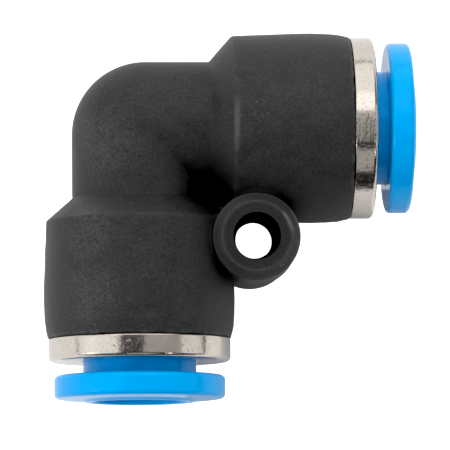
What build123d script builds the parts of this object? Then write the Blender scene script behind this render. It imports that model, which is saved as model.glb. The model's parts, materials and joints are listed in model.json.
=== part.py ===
"""Push-to-connect union elbow for 6 mm air tube.

The elbow lies flat. Its two ports point along +X (right) and -Y (front), and the
mounting eyelet stands in the crook between them, along Z. The origin is the centre
of the eyelet's hole on the mid-plane. Lengths along a port are measured outwards
from the corner, which is the crossing of the two port axes.
"""
from build123d import *
import math
import os

# ---- driving dimensions, in millimetres -------------------------------------------
tube_radius = 3.0  # the air tube that the ports take
running_gap = 0.05  # radial clearance of what slides

# moulded body
eyelet_offset = 7.45  # from the corner to the eyelet's axis, along each port
elbow_radius = 4.35  # the narrow bend between the two barrels
bend_radius = 0.45  # centre line of the bend's outer corner
shoulder_start = 4.6  # conical step from the bend up to the barrel
shoulder_end = 6.1
barrel_root_radius = 6.05
barrel_belly_radius = 6.24
barrel_belly = 11.0  # the barrel widens this far, then curves in
barrel_mouth_radius = 6.0
mouth = 13.8
mouth_rounding = 0.3

# mounting eyelet
eyelet_radius = 2.92
eyelet_draft = 0.06  # how much narrower it is at its two ends
eyelet_length = 9.6
eyelet_chamfer = 0.55
eyelet_hole_radius = 1.22  # the throat, where the two tapers of the hole meet
eyelet_throat = (-0.1, 1.5)  # from and to, above the mid-plane
eyelet_top_radius = 1.54  # the hole at the boss's two faces
eyelet_bottom_radius = 1.85
web_size = 2.6  # web that closes the gap between the bend and the eyelet
web_place = 5.2
web_thickness = 2.4

# passages inside the body
passage_radius = 2.1
tube_stop = 5.2
tube_pocket_radius = tube_radius + running_gap
seal_pocket = 7.6
seal_pocket_radius = 4.75

# seal and back ring
o_ring_section = 1.76
o_ring_radius = seal_pocket_radius - 0.005 - o_ring_section / 2
o_ring_place = seal_pocket + 0.03 + o_ring_section / 2
stack_radius = seal_pocket_radius - 0.03  # outside of the loose rings in the stack
back_ring_start = 9.42
back_ring_length = 0.4
back_ring_radius = 3.15

# lock claws and the ring that seats them
claw_thickness = 0.2
claw_rim = 11.57  # inboard face of the rim
claw_rim_radius = 3.95
claw_tip_radius = 3.03
claw_count = 10
claw_slot = 0.5
seat_start = back_ring_start + back_ring_length + 0.02
seat_mouth_radius = 4.3

# nickel-plated collar
collar_start = claw_rim + claw_thickness + 0.02
collar_radius = 5.93
collar_length = 1.5  # the part that shows
collar_rounding = 0.3
collar_press = 0.02  # interference of the skirt in the body
snap_recess_radius = 4.15
snap_recess_end = 14.3

# release ring
neck_radius = 3.7
flange_start = mouth + collar_length + 0.9  # clears the collar at full travel
flange_thickness = 1.5
flange_radius = 5.58
flange_rounding = 0.32
ring_bore_radius = 3.1
lip_radius = 3.75  # raised lip round the bore
lip_height = 0.25
nose_start = 11.25
nose_tip_radius = 3.32
snap_bead_radius = 4.05
snap_bead_start = 13.2
slit_count = 4
slit_width = 0.6
slit_end = 14.6

corner = Vector(-eyelet_offset, eyelet_offset, 0)
collar_face = mouth + collar_length
flange_face = flange_start + flange_thickness


class Port:
    """One port: its name and the planes that its pieces are drawn on."""

    def __init__(self, name, direction):
        self.name = name
        self.direction = Vector(*direction)
        self.axis = Axis(corner, self.direction)
        # local x runs along the port and local y is the distance from its axis
        side = self.direction.cross(Vector(0, 0, 1))
        self.profile = Plane(origin=corner, x_dir=self.direction, z_dir=side)

    def across(self, place):
        """The plane square to the port at a distance from the corner."""
        origin = corner + self.direction * place
        return Plane(origin=origin, x_dir=(0, 0, 1), z_dir=self.direction)


ports = [Port("right", (1, 0, 0)), Port("front", (0, -1, 0))]


def save(builder, name):
    """Label a finished piece and write its STEP file."""
    builder.part.label = name
    export_step(builder.part, f"parts/{name}.step")


os.makedirs("parts", exist_ok=True)

# ---- moulded elbow body -------------------------------------------------------------
with BuildPart() as elbow_body:
    # eyelet boss, drafted both ways from the mid-plane
    with BuildSketch(Plane.XZ):
        with BuildLine():
            half = eyelet_length / 2
            shank_end = half - eyelet_chamfer
            end_radius = eyelet_radius - eyelet_draft
            Polyline(
                (0, half),
                (end_radius - eyelet_chamfer, half),
                (end_radius, shank_end),
                (eyelet_radius, 0),
                (end_radius, -shank_end),
                (end_radius - eyelet_chamfer, -half),
                (0, -half),
                close=True,
            )
        make_face()
    revolve(axis=Axis.Z)

    # the bend's rounded outer corner: a quarter turn of the bend's section
    bend_centre = corner + Vector(bend_radius, -bend_radius, 0)
    with BuildSketch(Plane(origin=bend_centre, x_dir=(0, 1, 0), z_dir=(-1, 0, 0))):
        with Locations((bend_radius, 0)):
            Circle(elbow_radius)
        inner_half = (Align.MAX, Align.CENTER)
        Rectangle(2 * elbow_radius, 2 * elbow_radius, align=inner_half, mode=Mode.SUBTRACT)
    revolve(axis=Axis(bend_centre, (0, 0, 1)), revolution_arc=90)

    # web on the mid-plane, square and buried in its neighbours on all four sides
    with BuildSketch(Plane.XY.offset(-web_thickness / 2)):
        with Locations((corner.X + web_place, corner.Y - web_place)):
            Rectangle(web_size, web_size)
    extrude(amount=web_thickness)

    # two legs: bend, shoulder and barrel
    for port in ports:
        with BuildSketch(port.profile):
            with BuildLine():
                outline = Polyline(
                    (mouth - mouth_rounding, 0),
                    (bend_radius, 0),
                    (bend_radius, elbow_radius),
                    (shoulder_start, elbow_radius),
                    (shoulder_end, barrel_root_radius),
                )
                taper = Line(outline @ 1, (barrel_belly, barrel_belly_radius))
                curl = TangentArc(
                    taper @ 1, (mouth - mouth_rounding, barrel_mouth_radius), tangent=taper % 1
                )
                Line(curl @ 1, outline @ 0)
            make_face()
            with BuildLine():
                FilletPolyline(
                    (mouth - mouth_rounding, 0),
                    (mouth, 0),
                    (mouth, barrel_mouth_radius),
                    (mouth - mouth_rounding, barrel_mouth_radius),
                    radius=[0, mouth_rounding * 0.98, 0, 0],
                    close=True,
                )
            make_face()
        revolve(axis=port.axis)

    # passages: bent air way, tube pocket and seal pocket
    with Locations(corner):
        Sphere(passage_radius, mode=Mode.SUBTRACT)
    for port in ports:
        with BuildSketch(port.profile):
            with BuildLine():
                Polyline(
                    (0, 0),
                    (0, passage_radius),
                    (tube_stop, passage_radius),
                    (tube_stop, tube_pocket_radius),
                    (seal_pocket, tube_pocket_radius),
                    (seal_pocket, seal_pocket_radius),
                    (mouth, seal_pocket_radius),
                    (mouth, 0),
                    close=True,
                )
            make_face()
        revolve(axis=port.axis, mode=Mode.SUBTRACT)

    # eyelet hole, tapered from both faces to its throat
    with BuildSketch(Plane.XZ):
        with BuildLine():
            Polyline(
                (0, half),
                (eyelet_top_radius, half),
                (eyelet_hole_radius, eyelet_throat[1]),
                (eyelet_hole_radius, eyelet_throat[0]),
                (eyelet_bottom_radius, -half),
                (0, -half),
                close=True,
            )
        make_face()
    revolve(axis=Axis.Z, mode=Mode.SUBTRACT)
save(elbow_body, "elbow_body")

# ---- the pieces of each port ---------------------------------------------------------
for port in ports:
    # rubber seal round the tube
    with BuildPart() as o_ring:
        with BuildSketch(port.profile):
            with Locations((o_ring_place, o_ring_radius)):
                Circle(o_ring_section / 2)
        revolve(axis=port.axis)
    save(o_ring, f"{port.name}_o_ring")

    # washer that holds the seal in its pocket
    with BuildPart() as back_ring:
        with BuildSketch(port.across(back_ring_start)):
            Circle(stack_radius)
            Circle(back_ring_radius, mode=Mode.SUBTRACT)
        extrude(amount=back_ring_length)
        chamfer(back_ring.edges().filter_by(GeomType.CIRCLE), length=0.08)
    save(back_ring, f"{port.name}_back_ring")

    # tapered ring that carries the claws' rim
    with BuildPart() as claw_seat:
        with BuildSketch(port.profile):
            with BuildLine():
                Polyline(
                    (seat_start, claw_rim_radius),
                    (seat_start, stack_radius),
                    (claw_rim - 0.02, stack_radius),
                    (claw_rim - 0.02, seat_mouth_radius),
                    close=True,
                )
            make_face()
        revolve(axis=port.axis)
    save(claw_seat, f"{port.name}_claw_seat")

    # sprung steel claws: a flat rim with petals that lean inwards and inboard
    with BuildPart() as lock_claws:
        slope = claw_rim_radius - claw_tip_radius
        wall = claw_thickness * math.sqrt(2)
        with BuildSketch(port.profile):
            with BuildLine():
                Polyline(
                    (claw_rim, stack_radius),
                    (claw_rim, claw_rim_radius + claw_thickness / 2),
                    (claw_rim - slope, claw_tip_radius + claw_thickness / 2),
                    (claw_rim - slope + wall / 2, claw_tip_radius),
                    (claw_rim + claw_thickness, claw_rim_radius - claw_thickness / 2),
                    (claw_rim + claw_thickness, stack_radius),
                    close=True,
                )
            make_face()
        revolve(axis=port.axis)
        with BuildSketch(port.across(claw_rim - 2 * slope)):
            with PolarLocations(claw_rim_radius, claw_count):
                Rectangle(2 * slope, claw_slot, align=(Align.MAX, Align.CENTER))
                Circle(claw_slot / 2)
        extrude(amount=4 * slope, mode=Mode.SUBTRACT)
    save(lock_claws, f"{port.name}_lock_claws")

    # nickel-plated collar: skirt pressed into the body, lip that keeps the release ring
    with BuildPart() as collar:
        skirt_radius = seal_pocket_radius + collar_press
        with BuildSketch(port.profile):
            with BuildLine():
                FilletPolyline(
                    (collar_start, snap_recess_radius),
                    (collar_start, skirt_radius),
                    (mouth, skirt_radius),
                    (mouth, collar_radius),
                    (collar_face, collar_radius),
                    (collar_face, neck_radius + running_gap),
                    (snap_recess_end, neck_radius + running_gap),
                    (snap_recess_end, snap_recess_radius),
                    radius=[0, 0, 0, 0.08, collar_rounding, 0.15, 0, 0],
                    close=True,
                )
            make_face()
        revolve(axis=port.axis)
    save(collar, f"{port.name}_collar")

    # release ring: slit nose with a snap bead, neck, and the flange that is pressed
    with BuildPart() as release_ring:
        with BuildSketch(port.profile):
            with BuildLine():
                FilletPolyline(
                    (nose_start, ring_bore_radius),
                    (nose_start, nose_tip_radius),
                    (nose_start + neck_radius - nose_tip_radius, neck_radius),
                    (snap_bead_start, neck_radius),
                    (snap_bead_start + snap_bead_radius - neck_radius, snap_bead_radius),
                    (snap_recess_end - running_gap, snap_bead_radius),
                    (snap_recess_end - running_gap, neck_radius),
                    (flange_start, neck_radius),
                    (flange_start, flange_radius),
                    (flange_face, flange_radius),
                    (flange_face + lip_height / 2, lip_radius),
                    (flange_face + lip_height, lip_radius - lip_height),
                    (flange_face + lip_height, ring_bore_radius),
                    radius=[0, 0, 0, 0, 0, 0, 0, 0.1, flange_rounding, flange_rounding, 0.1, 0.1, 0.2],
                    close=True,
                )
            make_face()
        revolve(axis=port.axis)
        with BuildSketch(port.across(nose_start - 1)):
            with PolarLocations(neck_radius, slit_count):
                Rectangle(2 * (snap_bead_radius - ring_bore_radius), slit_width)
        extrude(amount=slit_end - nose_start + 1, mode=Mode.SUBTRACT)
    save(release_ring, f"{port.name}_release_ring")
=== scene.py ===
import json
import math

import bmesh
import bpy
import numpy as np
from bpy.props import FloatProperty, FloatVectorProperty, IntProperty, PointerProperty
from mathutils import Matrix, Vector, noise


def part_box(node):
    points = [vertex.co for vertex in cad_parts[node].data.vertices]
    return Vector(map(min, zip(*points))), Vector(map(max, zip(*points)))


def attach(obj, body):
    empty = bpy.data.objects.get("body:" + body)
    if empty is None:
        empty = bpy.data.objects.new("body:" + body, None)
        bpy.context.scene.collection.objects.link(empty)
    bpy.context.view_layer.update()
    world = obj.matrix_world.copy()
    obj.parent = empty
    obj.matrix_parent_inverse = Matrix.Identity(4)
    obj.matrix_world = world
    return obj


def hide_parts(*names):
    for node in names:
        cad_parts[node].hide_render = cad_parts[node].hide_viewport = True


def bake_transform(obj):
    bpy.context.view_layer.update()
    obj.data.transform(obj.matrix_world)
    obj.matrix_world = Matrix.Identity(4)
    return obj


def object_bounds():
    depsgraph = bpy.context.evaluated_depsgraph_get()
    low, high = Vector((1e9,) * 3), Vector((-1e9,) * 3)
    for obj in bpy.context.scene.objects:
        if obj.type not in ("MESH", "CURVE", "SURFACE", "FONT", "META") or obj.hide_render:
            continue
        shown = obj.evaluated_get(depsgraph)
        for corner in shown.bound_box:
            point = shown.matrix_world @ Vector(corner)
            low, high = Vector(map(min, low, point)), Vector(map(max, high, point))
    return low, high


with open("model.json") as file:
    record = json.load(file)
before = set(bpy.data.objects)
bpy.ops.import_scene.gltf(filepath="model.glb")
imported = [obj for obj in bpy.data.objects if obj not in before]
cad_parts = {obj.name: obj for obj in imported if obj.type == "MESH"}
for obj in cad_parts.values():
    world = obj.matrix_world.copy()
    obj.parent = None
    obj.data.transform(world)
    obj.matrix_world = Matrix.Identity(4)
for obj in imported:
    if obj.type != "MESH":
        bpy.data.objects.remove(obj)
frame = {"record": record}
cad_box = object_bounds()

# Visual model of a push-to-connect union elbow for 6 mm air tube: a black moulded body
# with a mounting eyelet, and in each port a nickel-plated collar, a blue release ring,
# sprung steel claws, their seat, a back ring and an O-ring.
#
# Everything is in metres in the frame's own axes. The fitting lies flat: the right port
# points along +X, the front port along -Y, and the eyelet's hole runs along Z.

bl_info = {
    "name": "Push-to-Connect Elbow",
    "version": (1, 0, 0),
    "blender": (4, 5, 0),
    "location": "View3D > Sidebar > Elbow",
    "description": "Builds the visible pieces of a push-to-connect union elbow on its CAD frame",
    "category": "Object",
}

MM = 0.001
FINISH = "elbow_"  # sets these materials apart from the frame's own
UP = Vector((0, 0, 1))


# ---- what the frame gives -----------------------------------------------------------


def middle(node):
    low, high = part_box(node)
    return (low + high) / 2


corner = Vector((middle("front_collar").x, middle("right_collar").y, 0))
mounts = {mount["name"]: mount for mount in frame["record"]["mounts"]}


class Port:
    """One port: its direction, the side that faces the other port, and its pieces."""

    def __init__(self, name, along, inward):
        self.name = name
        self.along = Vector(along)
        self.inward = Vector(inward)
        self.body = f"{name}_release"
        self.bore = mounts[f"{name}_port"]["dims"]["r_mm"] * MM

    def node(self, piece):
        return f"{self.name}_{piece}"

    def reach(self, piece):
        """Where a piece starts and ends along the port, and its outer radius."""
        low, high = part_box(self.node(piece))
        start, end = sorted((point - corner).dot(self.along) for point in (low, high))
        return start, end, (high.z - low.z) / 2

    def matrix(self):
        """Turns port space, with Z along the port from the corner, into the frame."""
        side = UP.cross(self.along)
        turned = Matrix((side, UP, self.along)).transposed()
        return Matrix.Translation(corner) @ turned.to_4x4()


PORTS = [Port("right", (1, 0, 0), (0, -1, 0)), Port("front", (0, -1, 0), (1, 0, 0))]
MOUTH = (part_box("elbow_body")[1] - corner).x
THROAT_RADIUS = mounts["eyelet"]["dims"]["r_mm"] * MM
THROAT_LENGTH = mounts["eyelet"]["dims"]["length_mm"] * MM


# ---- sizes and colours that a user would change ----------------------------------------


def size(name, millimetres, description):
    return FloatProperty(
        name=name,
        description=description,
        default=millimetres * MM,
        min=0.0,
        unit="LENGTH",
        subtype="DISTANCE",
        precision=5,
    )


def colour(name, red, green, blue, description):
    return FloatVectorProperty(
        name=name,
        description=description,
        default=(red, green, blue, 1.0),
        size=4,
        min=0.0,
        max=1.0,
        subtype="COLOR",
    )


class BodySizes(bpy.types.PropertyGroup):
    """Moulded body. Places are measured outwards from the corner of the two port axes."""

    elbow_radius: size("Elbow radius", 4.35, "Outside of the bend between the barrels")
    bend_radius: size("Bend radius", 0.45, "Centre line of the bend's outer corner")
    shoulder_start: size("Shoulder start", 4.6, "Where the cone leaves the bend")
    shoulder_end: size("Shoulder end", 6.1, "Where the cone meets the barrel")
    root_radius: size("Barrel root radius", 6.05, "Barrel at its shoulder")
    belly_place: size("Belly place", 11.3, "Where the barrel is widest")
    belly_radius: size("Belly radius", 6.24, "Barrel where it is widest")
    curl_place: size("Curl place", 13.0, "Where the barrel turns in to the mouth")
    curl_radius: size("Curl radius", 6.14, "Barrel where it turns in")
    mouth_radius: size("Mouth radius", 5.96, "Barrel at its mouth")
    shoulder_rounding: size("Shoulder rounding", 0.3, "Rounded edge of the shoulder")
    seal_radius: size("Seal pocket radius", 4.75, "Pocket for the seal and the rings")
    seal_place: size("Seal pocket", 7.6, "Floor of the seal pocket")
    tube_radius: size("Tube pocket radius", 3.05, "Pocket for the tube's end")
    tube_stop: size("Tube stop", 5.2, "Step that the tube meets")
    passage_radius: size("Air passage radius", 2.1, "Passage round the bend")
    flash_height: size("Flash height", 0.035, "Parting line left by the mould")
    flash_width: size("Flash width", 0.05, "Half width of the parting line")
    burr: size("Mouth burr", 0.07, "Unevenness of the moulded mouth edge")


class EyeletSizes(bpy.types.PropertyGroup):
    """Mounting eyelet in the crook of the elbow."""

    radius: size("Radius", 2.91, "Outside of the boss at the parting line")
    length: size("Length", 9.6, "Boss from face to face")
    draft: size("Draft", 0.06, "How much narrower the boss is at its ends")
    chamfer: size("Chamfer", 0.55, "Broken edge of the boss")
    step: size("Step", 0.04, "How much smaller the lower half of the mould made it")
    top_radius: size("Hole, top", 1.54, "Hole at the upper face")
    bottom_radius: size("Hole, bottom", 1.85, "Hole at the lower face")
    throat_top: size("Throat top", 1.5, "Throat's upper end, above the mid-plane")
    web: size("Web thickness", 2.4, "Web that joins the boss to the bend")


class RingSizes(bpy.types.PropertyGroup):
    """Turned collar and moulded release ring."""

    collar_rounding: size("Collar rounding", 0.3, "Outer edge of the collar")
    neck_radius: size("Neck radius", 3.7, "Release ring between collar and flange")
    clearance: size("Clearance", 0.05, "Running gap round the neck")
    flange_thickness: size("Flange thickness", 1.5, "Pressed flange, without its lip")
    flange_rounding: size("Flange rounding", 0.32, "Edges of the flange")
    lip_radius: size("Lip radius", 3.75, "Raised lip round the bore")
    lip_height: size("Lip height", 0.25, "How far the lip stands out")
    recess_radius: size("Snap recess radius", 4.15, "Room for the snap bead")
    recess_end: size("Snap recess end", 14.3, "Step that holds the snap bead")
    bead_radius: size("Snap bead radius", 4.05, "Bead that keeps the ring in")
    bead_place: size("Snap bead place", 13.2, "Inboard end of the bead")
    slit_end: size("Slit end", 14.6, "Outboard end of the slits in the nose")
    slit_width: size("Slit width", 0.6, "Slits that let the bead spring in")
    slit_count: IntProperty(name="Slits", description="Slits in the nose", default=4, min=2)


class ClawSizes(bpy.types.PropertyGroup):
    """Sprung claws and the ring that carries them."""

    thickness: size("Sheet thickness", 0.2, "Sheet that the claws are pressed from")
    rim_radius: size("Rim radius", 3.95, "Inner edge of the flat rim")
    tip_radius: size("Tip radius", 3.03, "Inner edge of the petals")
    slot_width: size("Slot width", 0.5, "Gap between petals")
    seat_radius: size("Seat radius", 4.3, "Mouth of the tapered seat")
    count: IntProperty(name="Petals", description="Petals of the claws", default=10, min=4)


class Finishes(bpy.types.PropertyGroup):
    """Base colours."""

    body: colour("Body", 0.032, 0.032, 0.0325, "Black glass-filled plastic")
    nickel: colour("Nickel", 0.66, 0.61, 0.55, "Plating on the collars")
    blue: colour("Blue", 0.0, 0.42, 1.0, "Release rings")
    steel: colour("Steel", 0.6, 0.6, 0.61, "Claws")
    natural: colour("Natural plastic", 0.62, 0.6, 0.54, "Seats and back rings")
    rubber: colour("Rubber", 0.012, 0.012, 0.012, "Seals")
    floor: colour("Floor", 0.35, 0.35, 0.35, "Light table, on top of its own glow")


# ---- outlines and solids of revolution -----------------------------------------------

ARC_STEP = math.radians(10)
SUPPORT = 0.03 * MM  # a row this close to each rounding keeps flat faces flat
LATHE_STEPS = 192
COARSE, MEDIUM, FINE = 0.8 * MM, 0.4 * MM, 0.25 * MM  # longest steps along an outline


def arc(point, before, after, rounding):
    """A rounded corner, as the points of its arc, or the bare corner."""
    to_before = (before - point).normalized()
    to_after = (after - point).normalized()
    opening = to_before.angle(to_after)
    if rounding == 0 or opening > math.pi - 1e-4:
        return [point]
    reach = rounding / math.tan(opening / 2)
    centre = point + (to_before + to_after).normalized() * rounding / math.sin(opening / 2)
    first = point + to_before * reach - centre
    turn = first.angle_signed(point + to_after * reach - centre)
    count = max(2, math.ceil(abs(turn) / ARC_STEP))
    rows = []
    for i in range(count + 1):
        spin = Matrix.Rotation(-turn * i / count, 2)
        rows.append(centre + spin @ first)
    return rows


def run(start, end, step):
    """Points between two ends of a straight run, with a support row close to each end."""
    length = (end - start).length
    support = min(SUPPORT, length / 4)
    count = max(1, math.ceil((length - 2 * support) / step))
    shares = [support + (length - 2 * support) * i / count for i in range(count + 1)]
    return [start.lerp(end, share / length) for share in shares]


def outline(corners, step=MEDIUM, closed=True):
    """Points of an outline, as (distance from the axis, place along it).

    Each corner is a place, a radius and a rounding.
    """
    points = [Vector((radius, place)) for place, radius, _ in corners]
    count = len(points)
    arcs = []
    for i, (point, given) in enumerate(zip(points, corners)):
        ends = not closed and i in (0, count - 1)
        rounding = 0 if ends else given[2]
        arcs.append(arc(point, points[i - 1], points[(i + 1) % count], rounding))
    rows = []
    for i in range(count):
        rows += arcs[i]
        if closed or i < count - 1:
            rows += run(arcs[i][-1], arcs[(i + 1) % count][0], step)
    return rows


def add_object(name, data):
    made = bpy.data.objects.new(name, data)
    bpy.context.scene.collection.objects.link(made)
    return made


def grid_faces(rows, columns, closed_rows):
    """Quads of a grid whose columns go all the way round."""
    last = rows if closed_rows else rows - 1
    i, j = np.meshgrid(np.arange(last), np.arange(columns), indexing="ij")
    after, beside = (i + 1) % rows, (j + 1) % columns
    quads = np.stack((i, after, after, i, j, j, beside, beside), -1)
    return (quads[..., :4] * columns + quads[..., 4:]).reshape(-1, 4)


def lathe(name, rows, steps=LATHE_STEPS):
    """A closed outline turned about Z."""
    turns = np.linspace(0, 2 * math.pi, steps, endpoint=False)
    radius = np.array([row.x for row in rows])[:, None]
    place = np.array([row.y for row in rows])[:, None] + 0 * turns
    points = np.stack((radius * np.cos(turns), radius * np.sin(turns), place), -1)
    mesh = bpy.data.meshes.new(name)
    faces = grid_faces(len(rows), steps, closed_rows=True)
    mesh.from_pydata(points.reshape(-1, 3).tolist(), [], faces.tolist())
    face_outwards(mesh)
    return add_object(name, mesh)


def face_outwards(mesh, merge=None):
    """Merges doubles where asked, and points every face of a closed mesh outwards."""
    edit = bmesh.new()
    edit.from_mesh(mesh)
    if merge:
        bmesh.ops.remove_doubles(edit, verts=edit.verts, dist=merge)
    bmesh.ops.recalc_face_normals(edit, faces=edit.faces)
    edit.to_mesh(mesh)
    edit.free()


SHARP = math.radians(35)
SPECK = 0.0003 * MM  # points closer than this are one point


def plain_mesh(source, name, matrix=None):
    """Turns an object with its modifiers into a plain, smooth-shaded mesh object."""
    source.data.update()
    shown = source.evaluated_get(bpy.context.evaluated_depsgraph_get())
    mesh = bpy.data.meshes.new_from_object(shown)
    bpy.data.objects.remove(source)
    if matrix:
        mesh.transform(matrix)
    edit = bmesh.new()
    edit.from_mesh(mesh)
    bmesh.ops.remove_doubles(edit, verts=edit.verts, dist=SPECK)
    bmesh.ops.dissolve_degenerate(edit, edges=edit.edges, dist=SPECK)
    edit.to_mesh(mesh)
    edit.free()
    mesh.name = name
    mesh.shade_smooth()
    mesh.set_sharp_from_angle(angle=SHARP)
    return add_object(name, mesh)


def finish_piece(piece, material, body, node):
    """Gives a piece its material and record slot, and lets it stand for its CAD node."""
    piece.data.materials.clear()
    piece.data.materials.append(material)
    if body:
        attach(piece, body)
    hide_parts(node)


# ---- node trees ---------------------------------------------------------------------


def add_node(tree, kind, inputs=None, **settings):
    """A node with its settings, and its inputs given as sockets to link or as values."""
    made = tree.nodes.new(kind)
    for key, value in settings.items():
        setattr(made, key, value)
    for key, value in (inputs or {}).items():
        if isinstance(value, bpy.types.NodeSocket):
            tree.links.new(value, made.inputs[key])
        else:
            made.inputs[key].default_value = value
    return made


def math_node(tree, operation, first, second=0.0, third=0.0):
    made = add_node(
        tree, "ShaderNodeMath", {0: first, 1: second, 2: third}, operation=operation
    )
    return made.outputs[0]


def vector_math(tree, operation, first, second=(0, 0, 0)):
    made = add_node(tree, "ShaderNodeVectorMath", {0: first, 1: second}, operation=operation)
    return made.outputs["Value" if operation in ("LENGTH", "DISTANCE") else "Vector"]


def new_group(name, kind, inputs, outputs):
    """An empty node group with its sockets, given as labels and their types, and its ends."""
    tree = bpy.data.node_groups.new(name, kind)
    for way, sockets in (("INPUT", inputs), ("OUTPUT", outputs)):
        for label, value_type in sockets.items():
            socket_type = f"NodeSocket{value_type}"
            tree.interface.new_socket(label, in_out=way, socket_type=socket_type)
    return tree, tree.nodes.new("NodeGroupInput").outputs, tree.nodes.new("NodeGroupOutput")


def floats(*labels):
    return dict.fromkeys(labels, "Float")


def put_out(tree, result, **outputs):
    for label, value in outputs.items():
        tree.links.new(value, result.inputs[label])


def set_modifier_input(modifier, label, value):
    for item in modifier.node_group.interface.items_tree:
        if item.item_type == "SOCKET" and item.in_out == "INPUT" and item.name == label:
            modifier[item.identifier] = value
            return
    raise KeyError(f"{modifier.node_group.name} has no input named {label}")


def apply_tree(source, tree, inputs, name, matrix=None):
    """Runs a Geometry Nodes tree on an object and keeps the result as a plain mesh."""
    modifier = source.modifiers.new(tree.name, "NODES")
    modifier.node_group = tree
    for label, value in inputs.items():
        set_modifier_input(modifier, label, value)
    return plain_mesh(source, name, matrix)


def hand_over(tree, geometry, given, result):
    """Ends a tree: makes instances real, paints them and puts them out."""
    whole = add_node(tree, "GeometryNodeRealizeInstances", {"Geometry": geometry})
    painted = add_node(
        tree,
        "GeometryNodeSetMaterial",
        {"Geometry": whole.outputs[0], "Material": given["Material"]},
    )
    put_out(tree, result, Geometry=painted.outputs[0])


def slotting_tree():
    """Geometry Nodes: cuts round-ended slots through a turned piece, evenly about Z."""
    tree, given, result = new_group(
        "even_slots",
        "GeometryNodeTree",
        {
            "Geometry": "Geometry",
            "Count": "Int",
            **floats("Width", "Inner Radius", "Outer Radius", "Start", "End"),
            "Material": "Material",
        },
        {"Geometry": "Geometry"},
    )
    depth = math_node(tree, "SUBTRACT", given["Outer Radius"], given["Inner Radius"])
    length = math_node(tree, "SUBTRACT", given["End"], given["Start"])
    halfway = math_node(tree, "ADD", given["Outer Radius"], given["Inner Radius"])
    halfway = math_node(tree, "MULTIPLY", halfway, 0.5)
    level = math_node(tree, "ADD", given["End"], given["Start"])
    level = math_node(tree, "MULTIPLY", level, 0.5)
    block_size = add_node(
        tree, "ShaderNodeCombineXYZ", {"X": depth, "Y": given["Width"], "Z": length}
    )
    block = add_node(tree, "GeometryNodeMeshCube", {"Size": block_size.outputs[0]})
    block_place = add_node(tree, "ShaderNodeCombineXYZ", {"X": halfway, "Z": level})
    round_radius = math_node(tree, "MULTIPLY", given["Width"], 0.5)
    round_end = add_node(
        tree,
        "GeometryNodeMeshCylinder",
        {"Vertices": 24, "Radius": round_radius, "Depth": length},
    )
    round_place = add_node(
        tree, "ShaderNodeCombineXYZ", {"X": given["Outer Radius"], "Z": level}
    )
    # one point for each slot, all on the axis, each turned by its share of a full turn
    points = add_node(tree, "GeometryNodePoints", {"Count": given["Count"]})
    index = add_node(tree, "GeometryNodeInputIndex")
    share = math_node(tree, "DIVIDE", 2 * math.pi, given["Count"])
    turn = math_node(tree, "MULTIPLY", index.outputs[0], share)
    turned = add_node(tree, "ShaderNodeCombineXYZ", {"Z": turn})
    cut = add_node(
        tree, "GeometryNodeMeshBoolean", operation="DIFFERENCE", solver="MANIFOLD"
    )
    tree.links.new(given["Geometry"], cut.inputs["Mesh 1"])
    for shape, place in ((block, block_place), (round_end, round_place)):
        moved = add_node(
            tree,
            "GeometryNodeTransform",
            {"Geometry": shape.outputs["Mesh"], "Translation": place.outputs[0]},
        )
        ring = add_node(
            tree,
            "GeometryNodeInstanceOnPoints",
            {
                "Points": points.outputs[0],
                "Instance": moved.outputs[0],
                "Rotation": turned.outputs[0],
            },
        )
        real = add_node(tree, "GeometryNodeRealizeInstances", {"Geometry": ring.outputs[0]})
        tree.links.new(real.outputs[0], cut.inputs["Mesh 2"])
    hand_over(tree, cut.outputs["Mesh"], given, result)
    return tree


def seal_tree():
    """Geometry Nodes: a round cord of rubber swept round a circle."""
    tree, given, result = new_group(
        "seal_ring",
        "GeometryNodeTree",
        {
            "Geometry": "Geometry",
            **floats("Ring Radius", "Cord Radius", "Place"),
            "Material": "Material",
        },
        {"Geometry": "Geometry"},
    )
    path = add_node(
        tree,
        "GeometryNodeCurvePrimitiveCircle",
        {"Resolution": 128, "Radius": given["Ring Radius"]},
    )
    section = add_node(
        tree,
        "GeometryNodeCurvePrimitiveCircle",
        {"Resolution": 40, "Radius": given["Cord Radius"]},
    )
    swept = add_node(
        tree,
        "GeometryNodeCurveToMesh",
        {"Curve": path.outputs["Curve"], "Profile Curve": section.outputs["Curve"]},
    )
    place = add_node(tree, "ShaderNodeCombineXYZ", {"Z": given["Place"]})
    moved = add_node(
        tree,
        "GeometryNodeTransform",
        {"Geometry": swept.outputs[0], "Translation": place.outputs[0]},
    )
    hand_over(tree, moved.outputs[0], given, result)
    return tree


# ---- shader groups and materials --------------------------------------------------------


def noise_node(tree, vector, grain, detail=3.0, roughness=0.6):
    """Noise whose lumps are about `grain` metres across."""
    linked = isinstance(grain, bpy.types.NodeSocket)
    scale = math_node(tree, "DIVIDE", 1.0, grain) if linked else 1 / grain
    given = {"Vector": vector, "Scale": scale, "Detail": detail, "Roughness": roughness}
    return add_node(tree, "ShaderNodeTexNoise", given).outputs["Fac"]


def stretch(tree, value, low, high, to_low=0.0, to_high=1.0):
    """Takes a value's range to another, and keeps it inside."""
    limits = {"From Min": low, "From Max": high, "To Min": to_low, "To Max": to_high}
    made = add_node(tree, "ShaderNodeMapRange", {"Value": value, **limits}, clamp=True)
    return made.outputs[0]


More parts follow.
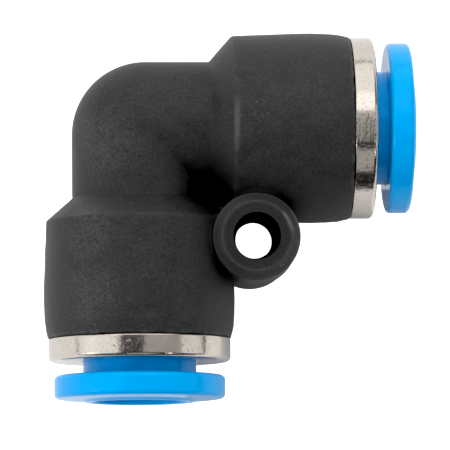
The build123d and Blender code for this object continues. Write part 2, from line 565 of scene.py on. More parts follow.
def moulded_skin_group():
    """The skin of a moulding: fine grain, cloudy mottle and a few pale specks."""
    tree, given, result = new_group(
        "moulded_skin",
        "ShaderNodeTree",
        {"Vector": "Vector", **floats("Grain Size", "Mottle Size", "Speck Size")},
        floats("Height", "Grain", "Mottle", "Specks"),
    )
    fine = noise_node(tree, given["Vector"], given["Grain Size"], detail=4.0)
    cloud = noise_node(tree, given["Vector"], given["Mottle Size"], detail=5.0)
    scale = math_node(tree, "DIVIDE", 1.0, given["Speck Size"])
    dots = add_node(tree, "ShaderNodeTexVoronoi", {"Vector": given["Vector"], "Scale": scale})
    dot = stretch(tree, dots.outputs["Distance"], 0.16, 0.04)
    pick = add_node(tree, "ShaderNodeSeparateColor", {"Color": dots.outputs["Color"]})
    few = stretch(tree, pick.outputs[0], 0.8, 0.95)
    specks = math_node(tree, "MULTIPLY", dot, few)
    lift = math_node(tree, "MULTIPLY", cloud, 0.6)
    height = math_node(tree, "ADD", fine, lift)
    grain, mottle = (stretch(tree, value, 0.3, 0.7) for value in (fine, cloud))
    put_out(tree, result, Height=height, Grain=grain, Mottle=mottle, Specks=specks)
    return tree


def tool_marks_group():
    """Marks on worked metal: fine lines along one direction, pits and handling stains."""
    tree, given, result = new_group(
        "tool_marks",
        "ShaderNodeTree",
        {"Vector": "Vector", **floats("Across", "Line Spacing", "Pit Size", "Stain Size")},
        floats("Height", "Lines", "Pits", "Stain"),
    )
    # lines change quickly across the tool's path and slowly along it
    slow = vector_math(tree, "MULTIPLY", given["Vector"], (0.06, 0.06, 0.06))
    across = add_node(tree, "ShaderNodeCombineXYZ", {"X": given["Across"]})
    both = vector_math(tree, "ADD", slow, across.outputs[0])
    lines = noise_node(tree, both, given["Line Spacing"])
    pits = noise_node(tree, given["Vector"], given["Pit Size"], detail=4.0, roughness=0.75)
    pits = stretch(tree, pits, 0.56, 0.72)
    stain = noise_node(tree, given["Vector"], given["Stain Size"], detail=4.0)
    dents = math_node(tree, "MULTIPLY", given["Line Spacing"], 5.0)
    dents = noise_node(tree, given["Vector"], dents, detail=2.0)
    height = math_node(tree, "MULTIPLY_ADD", pits, -1.2, lines)
    height = math_node(tree, "MULTIPLY_ADD", dents, 8.0, height)
    stain = stretch(tree, stain, 0.35, 0.7)
    put_out(tree, result, Height=height, Lines=lines, Pits=pits, Stain=stain)
    return tree


def patch_group():
    """A ragged spot round a place, fading out at its reach."""
    tree, given, result = new_group(
        "patch",
        "ShaderNodeTree",
        {"Vector": "Vector", "Place": "Vector", "Reach": "Float"},
        {"Share": "Float"},
    )
    away = vector_math(tree, "DISTANCE", given["Vector"], given["Place"])
    away = math_node(tree, "DIVIDE", away, given["Reach"])
    ragged = noise_node(tree, given["Vector"], given["Reach"], detail=4.0)
    away = math_node(tree, "ADD", away, math_node(tree, "SUBTRACT", ragged, 0.5))
    put_out(tree, result, Share=stretch(tree, away, 1.0, 0.5))
    return tree


class Paint:
    """A new material, its Principled shader and its piece coordinates."""

    def __init__(self, name, **constants):
        made = bpy.data.materials.new(f"{FINISH}{name}")
        made.use_nodes = True
        self.tree = made.node_tree
        self.shader = self.tree.nodes["Principled BSDF"]
        self.place = add_node(self.tree, "ShaderNodeTexCoord").outputs["Object"]
        for label, value in constants.items():
            self.shader.inputs[label.replace("_", " ")].default_value = value

    def group(self, tree, **inputs):
        labelled = {label.replace("_", " "): value for label, value in inputs.items()}
        given = {"Vector": self.place, **labelled}
        return add_node(self.tree, "ShaderNodeGroup", given, node_tree=tree).outputs

    def mix(self, share, first, second):
        """A colour between two, at the Mix node's sockets for colours."""
        given = {0: share, 6: first, 7: second}
        return add_node(self.tree, "ShaderNodeMix", given, data_type="RGBA").outputs[2]

    def shades(self, share, base, low, high):
        """A base colour, from `low` times as bright to `high` times as bright."""
        return self.mix(share, tinted(base, low), tinted(base, high))

    def spots(self, patch, places):
        """The share of marked surface, from a list of places and reaches in millimetres."""
        total = None
        for place, reach in places:
            share = self.group(patch, Place=Vector(place) * MM, Reach=reach * MM)["Share"]
            total = math_node(self.tree, "MAXIMUM", total, share) if total else share
        return total

    def feed(self, label, value):
        self.tree.links.new(value, self.shader.inputs[label])

    def bump(self, height, distance):
        relief = {"Height": height, "Distance": distance, "Strength": 1.0}
        self.feed("Normal", add_node(self.tree, "ShaderNodeBump", relief).outputs[0])


def tinted(base, factor):
    return [*(min(1.0, part * factor) for part in base[:3]), 1.0]


def grey(level):
    return (level, level, level, 1)


# marks on the body, each a place in millimetres and how far it reaches: polished spots, whose
# grain is also painted lighter as painted glints, painted highlights on edges, and pale flecks
POLISHED_GLINT_SPOTS = [((-9.9, 6.2, 3.6), 2.8), ((-11.0, 0.3, 5.1), 2.3), ((-10.6, -3.8, 5.1), 2.3)]
EDGE_HIGHLIGHT_SPOTS = [((-1.35, 7.2, 6.0), 2.1), ((2.3, 1.0, 4.7), 1.0)]
FLECKED = [((1.7, -1.5, 4.8), 1.9), ((-0.2, 7.7, 6.0), 1.6), ((2.2, 8.6, 6.0), 1.3)]


def body_material(finishes, skin, patch):
    """Black glass-filled plastic: matt and grainy, with painted shade in its crevices and on the
    boss's face, painted light on the boss's chamfer, painted glints in polished spots, and edges
    lighter from wear and painted highlights.
    """
    paint = Paint("moulded_black", Specular_IOR_Level=0.3)
    tree = paint.tree
    marks = paint.group(
        skin, Grain_Size=0.16 * MM, Mottle_Size=1.1 * MM, Speck_Size=0.42 * MM
    )
    base = finishes.body
    # polished spots are smoother, and their grain is painted lighter there as painted glints
    polished_glints = paint.spots(patch, POLISHED_GLINT_SPOTS)
    grain_and_glints = paint.mix(
        polished_glints,
        paint.shades(marks["Grain"], base, 0.3, 1.7),
        paint.shades(marks["Grain"], base, 0.1, 3.0),
    )
    mottled = paint.shades(marks["Mottle"], base, 0.6, 1.4)
    specked = paint.mix(marks["Specks"], paint.mix(0.5, grain_and_glints, mottled), grey(0.12))
    # how far out from the eyelet's axis, which is the frame's own Z, in millimetres
    out = vector_math(tree, "MULTIPLY", paint.place, (1 / MM, 1 / MM, 0))
    out = vector_math(tree, "LENGTH", out)
    on_boss = stretch(tree, out, 3.2, 2.9)
    on_chamfer = math_node(tree, "MULTIPLY", stretch(tree, out, 2.2, 2.5), on_boss)
    # painted shade: crevices, found by ambient occlusion, darken towards a tenth of the base
    # colour, and the boss much less
    crevice_shading = add_node(
        tree, "ShaderNodeAmbientOcclusion", {"Distance": 4 * MM}, samples=8
    ).outputs["AO"]
    crevice_shading = math_node(tree, "POWER", crevice_shading, 1.6)
    crevice_shading = math_node(tree, "MAXIMUM", crevice_shading, math_node(tree, "MULTIPLY", on_boss, 0.8))
    shaded_colour = paint.mix(crevice_shading, tinted(base, 0.1), specked)
    # painted shade darkens the boss's face, and painted light lightens its chamfer
    boss_face_shade = math_node(tree, "MULTIPLY", on_boss, 0.55)
    chamfer_light = math_node(tree, "MULTIPLY", on_chamfer, 0.5)
    shaded_colour = paint.mix(chamfer_light, paint.mix(boss_face_shade, shaded_colour, grey(0.01)), grey(0.06))
    # convex edges, found where a short way inward leads out again, are lighter in patches,
    # partly from wear and partly as painted highlight; at the listed edge spots the lightening
    # is painted highlight
    inside = add_node(
        tree, "ShaderNodeAmbientOcclusion", {"Distance": 0.35 * MM}, samples=8, inside=True
    ).outputs["AO"]
    patchy = noise_node(tree, paint.place, 0.5 * MM)
    even = math_node(tree, "MULTIPLY", on_boss, 0.5)
    patchy = math_node(tree, "MAXIMUM", stretch(tree, patchy, 0.42, 0.62, 0, 0.35), even)
    wear_and_highlights = math_node(tree, "MULTIPLY", stretch(tree, inside, 0.97, 0.75), patchy)
    edge = stretch(tree, inside, 0.98, 0.9)
    edge_highlights = math_node(tree, "MULTIPLY", edge, paint.spots(patch, EDGE_HIGHLIGHT_SPOTS))
    wear_and_highlights = math_node(tree, "MAXIMUM", wear_and_highlights, edge_highlights)
    # flecks show more on the boss than elsewhere, and neither wear nor painted highlight reaches
    # into its hole
    fleck = stretch(tree, noise_node(tree, paint.place, 0.25 * MM, detail=4.0), 0.56, 0.66)
    fleck = math_node(tree, "MULTIPLY", fleck, paint.spots(patch, FLECKED))
    showing = math_node(tree, "MULTIPLY_ADD", on_boss, 0.3, 0.15)
    fleck = math_node(tree, "MULTIPLY", fleck, showing)
    wear_and_highlights = math_node(tree, "MAXIMUM", wear_and_highlights, fleck)
    wear_and_highlights = math_node(tree, "MULTIPLY", wear_and_highlights, stretch(tree, out, 1.9, 2.2))
    paint.feed("Base Color", paint.mix(wear_and_highlights, shaded_colour, grey(0.15)))
    rough = stretch(tree, marks["Mottle"], 0, 1, 0.46, 0.56)
    rough = math_node(tree, "MULTIPLY_ADD", polished_glints, -0.12, rough)
    paint.feed("Roughness", math_node(tree, "MULTIPLY_ADD", wear_and_highlights, -0.1, rough))
    paint.bump(marks["Height"], 0.032 * MM)


def metal_material(name, base, marks_tree, lines, pits, roughness, depth):
    """Worked metal with its tool marks. `lines` and `pits` are their spacings."""
    paint = Paint(name, Metallic=1.0, Anisotropic=0.6, Anisotropic_Rotation=0.25)
    around = add_node(paint.tree, "ShaderNodeAttribute", attribute_name="around")
    paint.feed("Tangent", around.outputs["Vector"])
    across = add_node(paint.tree, "ShaderNodeAttribute", attribute_name="across")
    marks = paint.group(
        marks_tree,
        Across=across.outputs["Fac"],
        Line_Spacing=lines,
        Pit_Size=pits,
        Stain_Size=3.0 * MM,
    )
    tree = paint.tree
    rubbed = add_node(tree, "ShaderNodeAttribute", attribute_name="rubbed").outputs["Fac"]
    rubbed = math_node(tree, "MULTIPLY", rubbed, stretch(tree, marks["Lines"], 0.3, 0.6))
    stained = paint.mix(marks["Stain"], tinted(base, 0.9), base)
    pitted = paint.mix(marks["Pits"], stained, tinted(base, 0.55))
    flecks = noise_node(tree, paint.place, lines * 0.8, detail=2.0)
    flecks = math_node(tree, "MULTIPLY", rubbed, stretch(tree, flecks, 0.5, 0.6))
    paint.feed("Base Color", paint.mix(flecks, pitted, tinted(base, 0.2)))
    rough = stretch(tree, marks["Stain"], 0, 1, roughness, roughness * 1.5)
    rough = math_node(tree, "MULTIPLY_ADD", marks["Pits"], 0.15, rough)
    paint.feed("Roughness", math_node(tree, "MULTIPLY_ADD", rubbed, 0.55, rough))
    paint.bump(marks["Height"], depth)


def plastic_material(name, skin, colours, sizes, roughness, depth, **constants):
    """Smooth plastic or rubber: cloudy between two shades, with a fine moulded skin.

    `sizes` are those of the skin's grain, mottle and specks.
    """
    paint = Paint(name, **constants)
    grain, mottle, speck = sizes
    marks = paint.group(skin, Grain_Size=grain, Mottle_Size=mottle, Speck_Size=speck)
    paint.feed("Base Color", paint.shades(marks["Mottle"], *colours))
    paint.feed("Roughness", stretch(paint.tree, marks["Mottle"], 0, 1, *roughness))
    paint.bump(marks["Height"], depth)


def table_material(name, tone, roughness, cloud_size, darkest, glow):
    """A matt, cloudy table top or card, lit from within by `glow`."""
    paint = Paint(name, Roughness=roughness, Emission_Color=(1, 1, 1, 1), Emission_Strength=glow)
    cloud = noise_node(paint.tree, paint.place, cloud_size)
    paint.feed("Base Color", paint.mix(cloud, tinted(tone, darkest), tone))


def material(name):
    """A finish by name, with all of them made on the first call."""
    name = f"{FINISH}{name}"
    if name not in bpy.data.materials:
        finishes = bpy.context.scene.elbow_finishes
        skin = moulded_skin_group()
        marks = tool_marks_group()
        body_material(finishes, skin, patch_group())
        plastic_material(
            "blue_acetal",
            skin,
            colours=(finishes.blue, 0.94, 1.06),
            sizes=(0.25 * MM, 2.2 * MM, 2.5 * MM),
            roughness=(0.14, 0.22),
            depth=0.004 * MM,
            Specular_IOR_Level=0.5,
            Specular_Tint=(0.2, 0.6, 1.0, 1.0),
            Subsurface_Weight=0.15,
            Subsurface_Scale=0.4 * MM,
            Subsurface_Radius=(0.3, 0.6, 1.0),
        )
        plastic_material(
            "natural_acetal",
            skin,
            colours=(finishes.natural, 0.88, 1.0),
            sizes=(0.15 * MM, 1.2 * MM, MM),
            roughness=(0.4, 0.5),
            depth=0.008 * MM,
            Specular_IOR_Level=0.5,
        )
        plastic_material(
            "seal_rubber",
            skin,
            colours=(finishes.rubber, 1.0, 1.8),
            sizes=(0.08 * MM, 0.8 * MM, 0.8 * MM),
            roughness=(0.35, 0.6),
            depth=0.006 * MM,
            Specular_IOR_Level=0.4,
        )
        table_material("pale_floor", finishes.floor, 0.6, 0.2, darkest=0.99, glow=0.97)
        for sheet, level, glow in (("pale", 0.35, 0.72), ("grey", 0.85, 0), ("dark", 0.04, 0)):
            table_material(f"{sheet}_sheet", grey(level), 0.8, 0.1, darkest=0.9, glow=glow)
        nickel, steel = finishes.nickel, finishes.steel
        metal_material("nickel_plate", nickel, marks, 0.16 * MM, 0.16 * MM, 0.16, 0.003 * MM)
        metal_material("spring_steel", steel, marks, 0.05 * MM, 0.1 * MM, 0.25, 0.002 * MM)
    return bpy.data.materials[name]


# ---- moulded body -----------------------------------------------------------------------


BODY_STEPS = 204
OUTER_BEND_ROWS = 44
INNER_BEND_ROWS = 14


def body_turns():
    """Angles round a leg from the inward side, closer together at the parting line."""
    even = np.linspace(0, 360, BODY_STEPS, endpoint=False)
    fine = np.array([0.25, 0.5, 0.9])
    close = np.concatenate((fine, 180 - fine, 180 + fine, 360 - fine))
    return np.radians(np.sort(np.concatenate((even, close))))


def along_bend(radius, bend, joint, turns, rows):
    """Rows of (along, inward, up) from the diagonal plane to `joint` on one leg.

    `radius` may differ from turn to turn. Outside the bend's centre a line follows its
    arc, and inside it runs straight to the mitre.
    """
    inward, up = radius * np.cos(turns), radius * np.sin(turns)
    outside = bend - inward
    arc_length = np.maximum(outside, 0) * math.pi / 4
    straight_from = np.where(outside > 0, bend, inward)
    total = arc_length + joint - straight_from
    made = []
    for share in np.linspace(0, 1, rows):
        gone = share * total
        angle = (arc_length - gone) / np.maximum(outside, 1e-9)
        turning = gone < arc_length
        along = np.where(
            turning, bend - outside * np.sin(angle), straight_from + gone - arc_length
        )
        across = np.where(turning, bend - outside * np.cos(angle), inward)
        made.append(np.stack((along, across, up), -1))
    return made


def flash(sizes, turns, place):
    """Height of the parting line's ridge round a leg, uneven along it."""
    away = np.abs(np.sin(turns)) * sizes.elbow_radius
    ridge = np.exp(-((away / sizes.flash_width) ** 2))
    uneven = []
    for turn in turns:
        side = 10.0 if math.cos(turn) > 0 else 0.0
        uneven.append(0.55 + 0.9 * noise.noise(Vector((place / (0.7 * MM), side, 0.0))))
    return sizes.flash_height * ridge * np.clip(uneven, 0.05, 1.2)


def mouth_burr(sizes, turns):
    """How far the mouth's edge falls short, unevenly, of its full length."""
    waves = [
        noise.fractal(Vector((math.cos(turn), math.sin(turn), 0)) * 14, 0.6, 2.0, 4)
        for turn in turns
    ]
    return np.minimum(sizes.burr * np.array(waves), 0)


def body_half(sizes, turns):
    """One leg of the body, outside and inside, cut at the diagonal plane."""
    s = sizes
    fillet = 0.12 * MM
    joint = s.shoulder_start - fillet
    elbow = s.elbow_radius + flash(s, turns, 0.0)
    rows = along_bend(elbow, s.bend_radius, joint, turns, OUTER_BEND_ROWS)
    profile = outline(
        [
            (joint, s.elbow_radius, 0),
            (s.shoulder_start, s.elbow_radius, fillet),
            (s.shoulder_end, s.root_radius, s.shoulder_rounding),
            (s.belly_place, s.belly_radius, 20 * MM),
            (s.curl_place, s.curl_radius, 4 * MM),
            (MOUTH, s.mouth_radius, 0.14 * MM),
            (MOUTH, s.seal_radius, 0.1 * MM),
            (s.seal_place, s.seal_radius, 0.2 * MM),
            (s.seal_place, s.tube_radius, 0.2 * MM),
            (s.tube_stop, s.tube_radius, 0.15 * MM),
            (s.tube_stop, s.passage_radius, 0.15 * MM),
            (s.tube_stop - 0.4 * MM, s.passage_radius, 0),
        ],
        closed=False,
    )
    for row in profile[1:]:
        outer = row.x > s.elbow_radius - 0.01 * MM and row.x > s.seal_radius
        radius = row.x + (flash(s, turns, row.y) if outer or row.y < joint else 0)
        along = np.full_like(turns, row.y)
        if outer and row.y > MOUTH - 0.2 * MM:
            along += mouth_burr(s, turns)
        rows.append(np.stack((along, radius * np.cos(turns), radius * np.sin(turns)), -1))
    last = profile[-1]
    passage = along_bend(last.x + 0 * turns, 0.0, last.y, turns, INNER_BEND_ROWS)
    return np.array(rows + passage[::-1][1:])


def body_shell(sizes):
    """Both legs of the body, joined at the diagonal plane."""
    turns = body_turns()
    half = body_half(sizes, turns)
    points, faces = [], []
    for port in PORTS:
        axes = np.array([port.along, port.inward, UP])
        grid = half.reshape(-1, 3) @ axes + np.array(corner)
        offset = sum(len(block) for block in points)
        points.append(grid)
        faces.append(grid_faces(len(half), len(turns), closed_rows=False) + offset)
    mesh = bpy.data.meshes.new("shell")
    mesh.from_pydata(np.concatenate(points).tolist(), [], np.concatenate(faces).tolist())
    face_outwards(mesh, merge=0.0002 * MM)
    return add_object("shell", mesh)


def eyelet_boss(sizes):
    """The boss as a closed ring, its bore left narrow for the hole to cut away."""
    half = sizes.length / 2
    shank = half - sizes.chamfer
    end = sizes.radius - sizes.draft
    lower, lower_end = sizes.radius - sizes.step, end - sizes.step
    seam = 0.03 * MM
    core = THROAT_RADIUS * 0.5
    rows = outline(
        [
            (half, core, 0),
            (half, end - sizes.chamfer, 0.08 * MM),
            (shank, end, 0.15 * MM),
            (seam, sizes.radius, 0.02 * MM),
            (-seam, lower, 0.02 * MM),
            (-shank, lower_end, 0.15 * MM),
            (-half, lower_end - sizes.chamfer, 0.08 * MM),
            (-half, core, 0),
        ],
        step=COARSE,
    )
    return lathe("boss", rows)


def hole_cutter(sizes):
    """A tool of the hole's shape: two tapers that meet at the throat, with flared ends."""
    half = sizes.length / 2
    throat_bottom = sizes.throat_top - THROAT_LENGTH
    flare = 0.08 * MM
    past = half + MM
    rows = outline(
        [
            (past, 0.1 * MM, 0),
            (past, sizes.top_radius + MM, 0),
            (half, sizes.top_radius, flare),
            (sizes.throat_top, THROAT_RADIUS, 0.2 * MM),
            (throat_bottom, THROAT_RADIUS, 0.2 * MM),
            (-half, sizes.bottom_radius, flare),
            (-past, sizes.bottom_radius + MM, 0),
            (-past, 0.1 * MM, 0),
        ],
        step=COARSE,
    )
    return lathe("drill", rows)


def web_block(sizes, body):
    """The web between bend and boss, buried in its neighbours on all four sides."""
    low, high = 0.9 * body.elbow_radius, 1.07 * body.shoulder_end
    centre = corner + (PORTS[0].along + PORTS[0].inward) * (low + high) / 2
    mesh = bpy.data.meshes.new("web")
    edit = bmesh.new()
    bmesh.ops.create_cube(edit, size=1)
    stretch_by = Matrix.Diagonal((high - low, high - low, sizes.web, 1))
    bmesh.ops.transform(edit, matrix=Matrix.Translation(centre) @ stretch_by, verts=edit.verts)
    edit.to_mesh(mesh)
    edit.free()
    return add_object("web", mesh)


def combine(target, operation, tool):
    """Adds a boolean to the target's modifiers."""
    cut = target.modifiers.new(tool.name, "BOOLEAN")
    cut.operation = operation
    cut.solver = "MANIFOLD"
    cut.object = tool


class ELBOW_OT_body(bpy.types.Operator):
    """Build the moulded body with its two barrels and the mounting eyelet"""

    bl_idname = "elbow.body"
    bl_label = "Moulded Body"

    def execute(self, context):
        sizes = context.scene.elbow_body
        eyelet = context.scene.elbow_eyelet
        shell = body_shell(sizes)
        tools = {
            eyelet_boss(eyelet): "UNION",
            web_block(eyelet, sizes): "UNION",
            hole_cutter(eyelet): "DIFFERENCE",
        }
        for tool, operation in tools.items():
            combine(shell, operation, tool)
        body = plain_mesh(shell, "moulded_body")
        for tool in tools:
            bpy.data.objects.remove(tool)
        finish_piece(body, material("moulded_black"), "elbow", "elbow_body")
        return {"FINISHED"}


# ---- collars -------------------------------------------------------------------------------

# a collar's dulled band: its turn from straight up, away from the crook, and half width
RUBBED = {"right": (-4.5, 10.5)}


def keep_distance_across(piece, rows, steps=LATHE_STEPS):
    """Stores how far along its outline each point of a turned piece is."""
    lengths = [0.0]
    for first, second in zip(rows, rows[1:]):
        lengths.append(lengths[-1] + (second - first).length)
    layer = piece.data.attributes.new("across", "FLOAT", "POINT")
    layer.data.foreach_set("value", np.repeat(lengths, steps).astype(np.float32))


def keep_direction_around(piece, port):
    """Stores which way the lathe's tool ran over each point, for the sheen of metal."""
    layer = piece.data.attributes.new("around", "FLOAT_VECTOR", "POINT")
    for point, item in zip(piece.data.vertices, layer.data):
        item.vector = port.along.cross(point.co - corner).normalized()


def keep_rubbed_band(piece, port):
    """Stores where handling has dulled a collar: a band along the port, at one turn."""
    layer = piece.data.attributes.new("rubbed", "FLOAT", "POINT")
    if port.name not in RUBBED:
        return
    middle_turn, half_width = (math.radians(angle) for angle in RUBBED[port.name])
    fade = 0.25 * half_width
    for point, item in zip(piece.data.vertices, layer.data):
        out = point.co - corner
        turn = math.atan2(-out.dot(port.inward), out.z) - middle_turn
        item.value = max(0.0, min(1.0, (half_width - abs(turn)) / fade))


class ELBOW_OT_collars(bpy.types.Operator):
    """Build the nickel-plated collar of each port"""

    bl_idname = "elbow.collars"
    bl_label = "Collars"

    def execute(self, context):
        s = context.scene.elbow_rings
        body = context.scene.elbow_body
        for port in PORTS:
            start, end, radius = port.reach("collar")
            bore = s.neck_radius + s.clearance
            step_out = 0.01 * MM  # the collar widens this close to each side of the mouth
            rows = outline(
                [
                    (start, s.recess_radius, 0.05 * MM),
                    (start, body.seal_radius, 0.1 * MM),
                    (MOUTH - step_out, body.seal_radius, 0.05 * MM),
                    (MOUTH + step_out, radius, 0.1 * MM),
                    (end, radius, s.collar_rounding),
                    (end, bore, 0.15 * MM),
                    (s.recess_end, bore, 0.05 * MM),
                    (s.recess_end, s.recess_radius, 0.05 * MM),
                ],
                step=FINE,
            )
            turned = lathe("collar", rows)
            keep_distance_across(turned, rows)
            collar = plain_mesh(turned, port.node("nickel_collar"), port.matrix())
            keep_direction_around(collar, port)
            keep_rubbed_band(collar, port)
            finish_piece(
                collar, material("nickel_plate"), "elbow", port.node("collar")
            )
        return {"FINISHED"}


# ---- release rings ------------------------------------------------------------------------


class ELBOW_OT_release_rings(bpy.types.Operator):
    """Build the blue release ring of each port, with its slit nose"""

    bl_idname = "elbow.release_rings"
    bl_label = "Release Rings"

    def execute(self, context):
        s = context.scene.elbow_rings
        tree = slotting_tree()
        for port in PORTS:
            start, end, radius = port.reach("release_ring")
            flange_face = end - s.lip_height
            flange_back = flange_face - s.flange_thickness
            nose = port.bore + 0.22 * MM
            bead_end = s.recess_end - s.clearance
            rows = outline(
                [
                    (start, port.bore, 0.04 * MM),
                    (start, nose, 0.08 * MM),
                    (start + s.neck_radius - nose, s.neck_radius, 0.1 * MM),
                    (s.bead_place, s.neck_radius, 0.1 * MM),
                    (s.bead_place + s.bead_radius - s.neck_radius, s.bead_radius, 0.1 * MM),
                    (bead_end, s.bead_radius, 0.05 * MM),
                    (bead_end, s.neck_radius, 0.03 * MM),
                    (flange_back, s.neck_radius, 0.12 * MM),
                    (flange_back, radius, s.flange_rounding),
                    (flange_face, radius, s.flange_rounding),
                    (flange_face + s.lip_height / 2, s.lip_radius, 0.15 * MM),
                    (end, s.lip_radius - s.lip_height, 0.12 * MM),
                    (end, port.bore, 0.2 * MM),
                ],
                step=FINE,
            )
            ring = apply_tree(
                lathe("release_ring", rows),
                tree,
                {
                    "Count": s.slit_count,
                    "Width": s.slit_width,
                    "Inner Radius": port.bore - 0.4 * MM,
                    "Outer Radius": s.bead_radius + 0.4 * MM,
                    "Start": start - MM,
                    "End": s.slit_end,
                    "Material": material("blue_acetal"),
                },
                port.node("blue_release_ring"),
                port.matrix(),
            )
            finish_piece(
                ring, material("blue_acetal"), port.body, port.node("release_ring")
            )
        return {"FINISHED"}


# ---- claws, seats, back rings and seals ------------------------------------------------------


class ELBOW_OT_lock_claws(bpy.types.Operator):
    """Build the sprung claws of each port, whose petals follow the release ring's nose"""

    bl_idname = "elbow.lock_claws"
    bl_label = "Lock Claws"

    def execute(self, context):
        s = context.scene.elbow_claws
        tree = bpy.data.node_groups["even_slots"]
        for port in PORTS:
            tip, rim_face, rim_outer = port.reach("lock_claws")
            rim = rim_face - s.thickness
            root = s.rim_radius + s.thickness / 2
            petal = s.tip_radius + s.thickness / 2
            soft = s.thickness * 0.2
            rows = outline(
                [
                    (rim, rim_outer, soft),
                    (rim, root, soft),
                    (tip, petal, soft),
                    (tip + s.thickness * math.sqrt(0.5), s.tip_radius, soft),
                    (rim_face, root - s.thickness, soft),
                    (rim_face, rim_outer, soft),
                ],
                step=0.15 * MM,
            )
            pressed = lathe("claws", rows)
            keep_distance_across(pressed, rows)
            claws = apply_tree(
                pressed,
                tree,
                {
                    "Count": s.count,
                    "Width": s.slot_width,
                    "Inner Radius": s.tip_radius - 0.5 * MM,
                    "Outer Radius": s.rim_radius,
                    "Start": tip - MM,
                    "End": rim_face + MM,
                    "Material": material("spring_steel"),
                },
                port.node("sprung_claws"),
                port.matrix(),
            )
            keep_direction_around(claws, port)
            finish_piece(
                claws, material("spring_steel"), None, port.node("lock_claws")
            )
            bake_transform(claws)
        return {"FINISHED"}


class ELBOW_OT_inner_rings(bpy.types.Operator):
    """Build the claw seat, the back ring and the seal of each port"""

    bl_idname = "elbow.inner_rings"
    bl_label = "Seats, Back Rings and Seals"

    def execute(self, context):
        s = context.scene.elbow_claws
        natural = material("natural_acetal")
        tree = seal_tree()
        edge = 0.06 * MM
        for port in PORTS:
            bore = port.bore + context.scene.elbow_rings.clearance
            for piece, name, first_bore, last_bore in (
                ("claw_seat", "tapered_seat", s.rim_radius, s.seat_radius),
                ("back_ring", "seal_washer", bore, bore),
            ):
                start, end, radius = port.reach(piece)
                ends = ((start, first_bore), (start, radius), (end, radius), (end, last_bore))
                rows = outline([(place, reach, edge) for place, reach in ends])
                ring = plain_mesh(lathe(piece, rows), port.node(name), port.matrix())
                finish_piece(ring, natural, "elbow", port.node(piece))

            start, end, radius = port.reach("o_ring")
            cord = (end - start) / 2
            seal = apply_tree(
                add_object("seal", bpy.data.meshes.new("seal")),
                tree,
                {
                    "Ring Radius": radius - cord,
                    "Cord Radius": cord,
                    "Place": (start + end) / 2,
                    "Material": material("seal_rubber"),
                },
                port.node("rubber_seal"),
                port.matrix(),
            )
            finish_piece(
                seal, material("seal_rubber"), "elbow", port.node("o_ring")
            )
        return {"FINISHED"}


# ---- stage -----------------------------------------------------------------------------------

# the camera looks nearly straight down on the fitting
VIEW_AZIMUTH = math.radians(-33.3)
VIEW_ELEVATION = math.radians(84.18)
VIEW_ROLL = math.radians(0.36)
VIEW_DISTANCE = 0.3807
VIEW_AIM = Vector((-0.00182, 0.0011, 0))
LENS = 465.6
PANEL_DISTANCE = 0.6
BLACK_LEVEL = 0.01
FLOOR_LEVEL = cad_box[0].z - 0.01 * MM


def direction(azimuth, elevation):
    """From the fitting outwards, with azimuth 0 towards -Y and 90 degrees towards +X."""
    flat = math.cos(elevation)
    return Vector((math.sin(azimuth) * flat, -math.cos(azimuth) * flat, math.sin(elevation)))


def add_camera():
    camera = add_object("camera", bpy.data.cameras.new("camera"))
    camera.data.lens = LENS
    camera.data.sensor_width = 36
    camera.data.clip_start = 0.01
    camera.data.clip_end = 20
    back = direction(VIEW_AZIMUTH, VIEW_ELEVATION)
    right = Vector((0, 1, 0)).cross(back).normalized()
    right = Matrix.Rotation(VIEW_ROLL, 3, back).inverted() @ right
    camera.matrix_world = Matrix.Translation(VIEW_AIM + back * VIEW_DISTANCE) @ Matrix(
        (right, back.cross(right), back)
    ).transposed().to_4x4()
    bpy.context.scene.camera = camera


def add_softbox(name, seen_at, across, radiance, mirrored=True):
    """A soft panel that faces the fitting. One that isn't mirrored only gives matt light."""
    lamp = bpy.data.lights.new(name, "AREA")
    lamp.shape = "RECTANGLE"
    lamp.size, lamp.size_y = across
    lamp.energy = radiance * math.pi * across[0] * across[1]
    softbox = add_object(name, lamp)
    outwards = direction(*map(math.radians, seen_at))
    softbox.location = outwards * PANEL_DISTANCE
    softbox.rotation_euler = outwards.to_track_quat("Z", "Y").to_euler()
    softbox.visible_camera = False
    softbox.visible_glossy = mirrored


def add_floor():
    mesh = bpy.data.meshes.new("floor")
    edit = bmesh.new()
    bmesh.ops.create_circle(edit, cap_ends=True, radius=4.0, segments=96)
    bmesh.ops.translate(edit, verts=edit.verts, vec=(0, 0, FLOOR_LEVEL))
    edit.to_mesh(mesh)
    edit.free()
    floor = add_object("floor", mesh)
    floor.data.materials.append(material("pale_floor"))


def add_sheet(paint, lift, sides):
    """A sheet over the floor that tones down reflections, and that the camera looks through.

    `sides` are its lowest X and Y and its highest X and Y.
    """
    left, near, right, far = sides
    corners = ((left, near), (right, near), (right, far), (left, far))
    mesh = bpy.data.meshes.new(paint)
    mesh.from_pydata([(x, y, FLOOR_LEVEL + lift) for x, y in corners], [], [(0, 1, 2, 3)])
    sheet = add_object(paint, mesh)
    sheet.data.materials.append(material(paint))
    sheet.visible_camera = False
    sheet.visible_shadow = False


def add_world():
    """Dim surroundings, so that the panels and the floor shape the reflections."""
    world = bpy.data.worlds.new("studio")
    world.use_nodes = True
    bpy.context.scene.world = world
    tree = world.node_tree
    sky = tree.nodes["Background"]
    facing = add_node(tree, "ShaderNodeTexCoord").outputs["Generated"]
    height = add_node(tree, "ShaderNodeSeparateXYZ", {0: facing}).outputs["Z"]
    glow = stretch(tree, height, 0.1, 0.95, 0.03, 0.05)
    tree.links.new(glow, sky.inputs["Strength"])
    sky.inputs["Color"].default_value = (1, 1, 1, 1)


def set_contrast(view):
    """Plain colours, with the deepest shade just reaching black."""
    view.view_transform = "Standard"
    view.use_curve_mapping = True
    view.curve_mapping.black_level = (BLACK_LEVEL, BLACK_LEVEL, BLACK_LEVEL)
    view.curve_mapping.update()


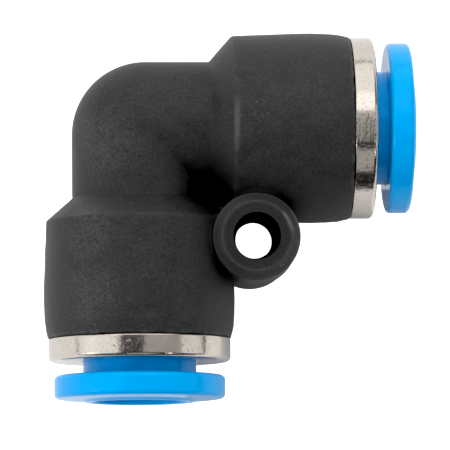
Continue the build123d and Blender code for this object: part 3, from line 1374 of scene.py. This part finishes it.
class ELBOW_OT_stage(bpy.types.Operator):
    """Set up the pale floor, the studio light and the camera"""

    bl_idname = "elbow.stage"
    bl_label = "Stage"

    def execute(self, context):
        add_floor()
        add_world()
        # each panel's azimuth and elevation in degrees, its width and height, and radiance
        add_softbox("far_panel", (180, 38.5), (0.9, 0.84), 1.25)
        add_softbox("far_high_panel", (180, 61), (0.5, 0.26), 0.4)
        add_softbox("left_panel", (-90, 32), (0.6, 0.66), 1.1)
        add_softbox("right_panel", (90, 62), (0.3, 0.56), 0.4)
        add_softbox("right_low_panel", (90, 22), (0.4, 0.34), 0.95)
        add_softbox("near_panel", (0, 44), (0.3, 0.32), 0.5)
        add_softbox("left_key", (-74, 22), (0.08, 0.08), 16.0)
        add_softbox("right_key", (46, 42), (0.08, 0.08), 8.0)
        add_softbox("overhead_panel", (0, 90), (1.2, 1.2), 0.52, mirrored=False)
        add_sheet("pale_sheet", 0.003 * MM, (-0.5, -0.5, 0.5, 0.5))
        add_sheet("grey_sheet", 0.006 * MM, (-4 * MM, -0.5, 11 * MM, 4 * MM))
        add_sheet("dark_sheet", 0.009 * MM, (-3 * MM, -3 * MM, 3 * MM, 3 * MM))
        add_camera()
        set_contrast(context.scene.view_settings)
        return {"FINISHED"}


# ---- panel and registration -------------------------------------------------------------------

OPERATORS = [
    ELBOW_OT_body,
    ELBOW_OT_collars,
    ELBOW_OT_release_rings,
    ELBOW_OT_lock_claws,
    ELBOW_OT_inner_rings,
    ELBOW_OT_stage,
]
GROUPS = {
    "elbow_body": BodySizes,
    "elbow_eyelet": EyeletSizes,
    "elbow_rings": RingSizes,
    "elbow_claws": ClawSizes,
    "elbow_finishes": Finishes,
}


class ELBOW_PT_panel(bpy.types.Panel):
    """Lists the elbow's operators, sizes and colours"""

    bl_idname = "ELBOW_PT_panel"
    bl_label = "Push-to-Connect Elbow"
    bl_space_type = "VIEW_3D"
    bl_region_type = "UI"
    bl_category = "Elbow"

    def draw(self, context):
        layout = self.layout
        for operator in OPERATORS:
            layout.operator(operator.bl_idname)
        for name, group in GROUPS.items():
            box = layout.box()
            box.label(text=group.__doc__.split(".")[0])
            for field in group.__annotations__:
                box.prop(getattr(context.scene, name), field)


def register():
    for group in GROUPS.values():
        bpy.utils.register_class(group)
    for name, group in GROUPS.items():
        setattr(bpy.types.Scene, name, PointerProperty(type=group))
    for operator in OPERATORS:
        bpy.utils.register_class(operator)
    bpy.utils.register_class(ELBOW_PT_panel)


def unregister():
    bpy.utils.unregister_class(ELBOW_PT_panel)
    for operator in reversed(OPERATORS):
        bpy.utils.unregister_class(operator)
    for name in GROUPS:
        delattr(bpy.types.Scene, name)
    for group in reversed(GROUPS.values()):
        bpy.utils.unregister_class(group)


def main():
    register()
    for operator in OPERATORS:
        group, name = operator.bl_idname.split(".")
        getattr(getattr(bpy.ops, group), name)()


if __name__ == "__main__":
    main()
